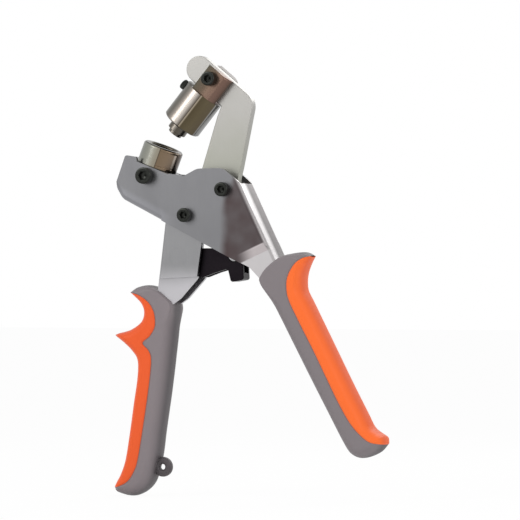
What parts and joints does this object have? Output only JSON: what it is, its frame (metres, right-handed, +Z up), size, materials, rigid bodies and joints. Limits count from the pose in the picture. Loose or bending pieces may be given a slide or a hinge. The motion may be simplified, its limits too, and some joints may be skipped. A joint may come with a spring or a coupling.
{
  "type": "eyelet pliers",
  "caption": "Hand-held eyelet setting pliers with a folded steel jaw, a swinging upper arm with a round die, a lower die, a black toggle link and two-tone moulded grips.",
  "frame": {"origin": "middle of the foot of the tool's bounding box, the tool standing upright as the picture shows it", "axes": "+Z up along the tool from grips to arm, +X to the right as seen from the front, +Y to the back; the screw heads face -Y"},
  "size_m": [0.1708, 0.0332, 0.2647],
  "materials": {
    "body_steel": "satin grey pressed steel",
    "arm_steel": "bright satin plated steel",
    "block_steel": "plain machined steel",
    "die_nickel": "polished nickel plate",
    "black_steel": "black oxide",
    "pin_steel": "ground steel",
    "bush_bronze": "sintered bronze",
    "spring_steel": "drawn spring wire",
    "grip_grey": "matt moulded plastic",
    "grip_orange": "satin soft overmould"
  },
  "bodies": {
    "body": {"body_frame": "body_steel", "die_block": "block_steel", "lower_die": "die_nickel", "clamp_screw": "black_steel", "clamp_nut": "black_steel", "lever_pivot_screw": "black_steel", "lever_pivot_nut": "black_steel", "lever_pivot_sleeve": "pin_steel", "arm_pivot_screw": "black_steel", "arm_pivot_nut": "black_steel", "arm_pivot_sleeve": "pin_steel", "front_arm_spacer": "pin_steel", "rear_arm_spacer": "pin_steel", "return_spring": "spring_steel", "right_grip_core": "grip_grey", "right_grip_pad": "grip_orange"},
    "lever": {"lever_frame": "body_steel", "lever_bush": "bush_bronze", "lever_link_rivet": "pin_steel", "left_grip_core": "grip_grey", "left_grip_pad": "grip_orange"},
    "link": {"toggle_link": "black_steel", "link_spacer": "pin_steel"},
    "arm": {"upper_arm": "arm_steel", "arm_bush": "bush_bronze", "tail_rivet": "pin_steel", "upper_die": "die_nickel", "punch_tip": "die_nickel", "punch_set_screw": "black_steel", "die_cross_screw": "black_steel"}
  },
  "joints": [
    {"name": "lever_squeeze", "type": "hinge", "parent": "body", "child": "lever", "pos_m": [-0.03813, 0.0014, 0.16875], "axis": [0, -1, 0], "range_deg": [0, 28], "stiffness_Nm_per_rad": 1, "springref_deg": -34.38, "deforming": ["return_spring"]},
    {"name": "arm_swing", "type": "hinge", "parent": "body", "child": "arm", "pos_m": [-0.01403, 0.0014, 0.18405], "axis": [0, -1, 0], "range_deg": [0, 18.4]},
    {"name": "link_turn", "type": "hinge", "parent": "lever", "child": "link", "pos_m": [-0.04423, 0.0014, 0.14355], "axis": [0, -1, 0], "range_deg": [-22.2, 0]}
  ],
  "couplings": [
    {"joint": "arm_swing", "follows": "lever_squeeze", "ratio": 0.657},
    {"joint": "link_turn", "follows": "lever_squeeze", "ratio": -0.79}
  ]
}
